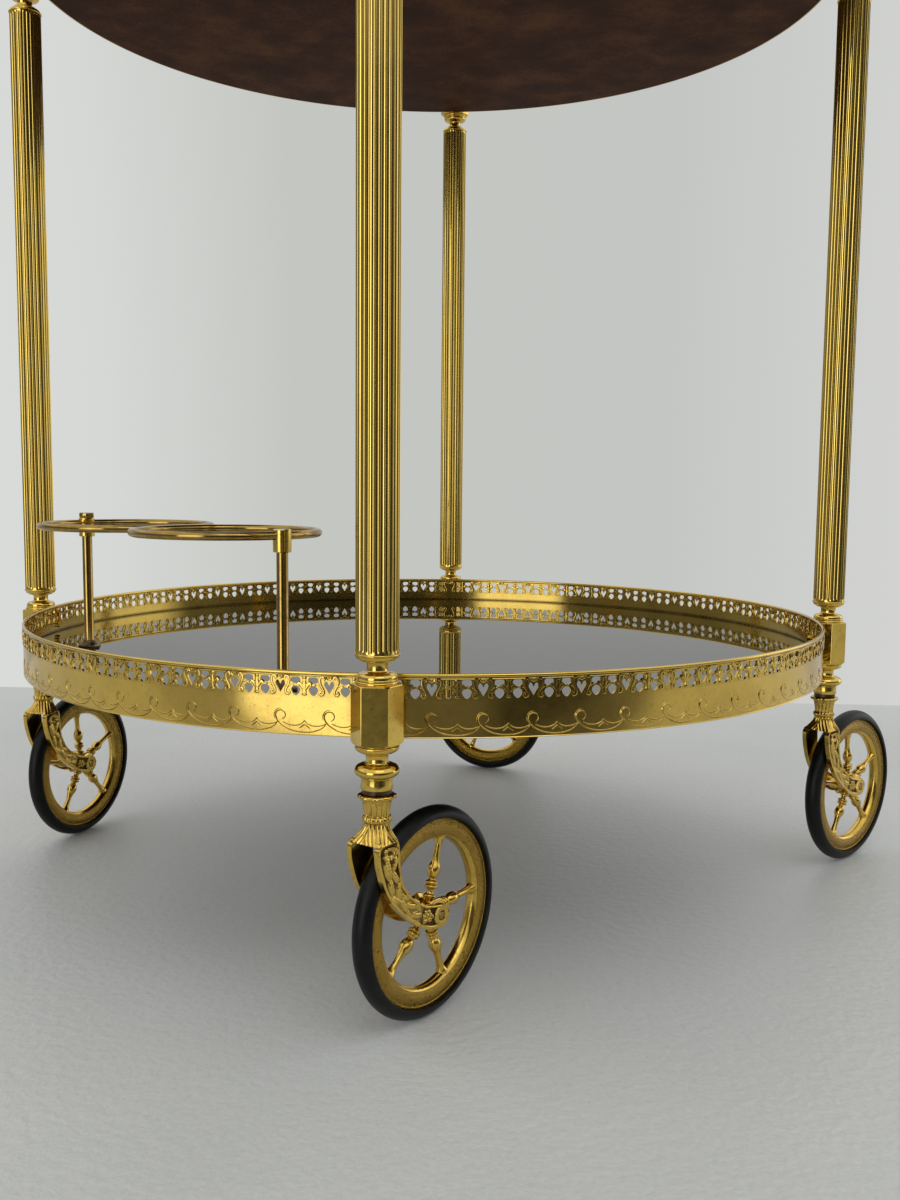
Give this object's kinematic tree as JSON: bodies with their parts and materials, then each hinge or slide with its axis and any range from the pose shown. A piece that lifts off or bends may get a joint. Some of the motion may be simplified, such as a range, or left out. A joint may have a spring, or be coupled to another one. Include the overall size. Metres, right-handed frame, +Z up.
{
  "type": "bar cart",
  "caption": "Round two-tier brass bar cart: fluted legs, pierced galleries, mirror shelves, bottle rings and spoked swivel casters.",
  "frame": {"origin": "on the floor, under the axis of the round shelves", "axes": "+Z up; -Y to the front leg, +X to the right leg; the bottle rings stand between the front and left legs"},
  "size_m": [0.5881, 0.5408, 0.6136],
  "materials": {
    "polished_brass": "polished, lightly aged",
    "fluted_brass": "polished, aged in the flutes",
    "gallery_brass": "stamped and engraved sheet",
    "cast_brass": "cast relief, polished high points",
    "rod_steel": "drawn",
    "dark_steel": "dark patina",
    "smoked_mirror": "smoked mirror glass",
    "brown_board": "dark stained board",
    "tyre_rubber": "matt"
  },
  "bodies": {
    "frame": {"column_front": "fluted_brass", "lower_knuckle_front": "polished_brass", "upper_knuckle_front": "polished_brass", "foot_front": "polished_brass", "finial_front": "polished_brass", "tie_rod_front": "rod_steel", "column_right": "fluted_brass", "lower_knuckle_right": "polished_brass", "upper_knuckle_right": "polished_brass", "foot_right": "polished_brass", "finial_right": "polished_brass", "tie_rod_right": "rod_steel", "column_back": "fluted_brass", "lower_knuckle_back": "polished_brass", "upper_knuckle_back": "polished_brass", "foot_back": "polished_brass", "finial_back": "polished_brass", "tie_rod_back": "rod_steel", "column_left": "fluted_brass", "lower_knuckle_left": "polished_brass", "upper_knuckle_left": "polished_brass", "foot_left": "polished_brass", "finial_left": "polished_brass", "tie_rod_left": "rod_steel", "swivel_washers": "dark_steel", "lower_gallery": "gallery_brass", "upper_gallery": "gallery_brass", "lower_gallery_screws": "polished_brass", "upper_gallery_screws": "polished_brass", "lower_mirror": "smoked_mirror", "upper_mirror": "smoked_mirror", "lower_board": "brown_board", "upper_board": "brown_board", "bottle_ring_left": "polished_brass", "bottle_ring_right": "polished_brass", "ring_sleeve_left": "polished_brass", "ring_sleeve_right": "polished_brass", "holder_post_left": "polished_brass", "holder_post_right": "polished_brass", "post_base_left": "dark_steel", "post_base_right": "dark_steel", "holder_cap_nut": "polished_brass"},
    "caster_front": {"fork_front": "cast_brass", "axle_front": "cast_brass"},
    "roller_front": {"wheel_front": "cast_brass", "tyre_front": "tyre_rubber"},
    "caster_right": {"fork_right": "cast_brass", "axle_right": "cast_brass"},
    "roller_right": {"wheel_right": "cast_brass", "tyre_right": "tyre_rubber"},
    "caster_back": {"fork_back": "cast_brass", "axle_back": "cast_brass"},
    "roller_back": {"wheel_back": "cast_brass", "tyre_back": "tyre_rubber"},
    "caster_left": {"fork_left": "cast_brass", "axle_left": "cast_brass"},
    "roller_left": {"wheel_left": "cast_brass", "tyre_left": "tyre_rubber"}
  },
  "joints": [
    {"name": "swivel_front", "type": "hinge", "parent": "frame", "child": "caster_front", "pos_m": [0, -0.258, 0.11], "axis": [0, 0, 1], "continuous": true},
    {"name": "roll_front", "type": "hinge", "parent": "caster_front", "child": "roller_front", "pos_m": [0.01971, -0.22788, 0.05], "axis": [-0.8368, 0.5476, 0], "continuous": true},
    {"name": "swivel_right", "type": "hinge", "parent": "frame", "child": "caster_right", "pos_m": [0.258, 0, 0.11], "axis": [0, 0, 1], "continuous": true},
    {"name": "roll_right", "type": "hinge", "parent": "caster_right", "child": "roller_right", "pos_m": [0.2826, 0.02629, 0.05], "axis": [-0.7302, 0.6833, 0], "continuous": true},
    {"name": "swivel_back", "type": "hinge", "parent": "frame", "child": "caster_back", "pos_m": [0, 0.258, 0.11], "axis": [0, 0, 1], "continuous": true},
    {"name": "roll_back", "type": "hinge", "parent": "caster_back", "child": "roller_back", "pos_m": [0.03424, 0.24688, 0.05], "axis": [0.309, 0.9511, 0], "continuous": true},
    {"name": "swivel_left", "type": "hinge", "parent": "frame", "child": "caster_left", "pos_m": [-0.258, 0, 0.11], "axis": [0, 0, 1], "continuous": true},
    {"name": "roll_left", "type": "hinge", "parent": "caster_left", "child": "roller_left", "pos_m": [-0.24718, 0.03433, 0.05], "axis": [-0.9537, 0.3007, 0], "continuous": true}
  ]
}
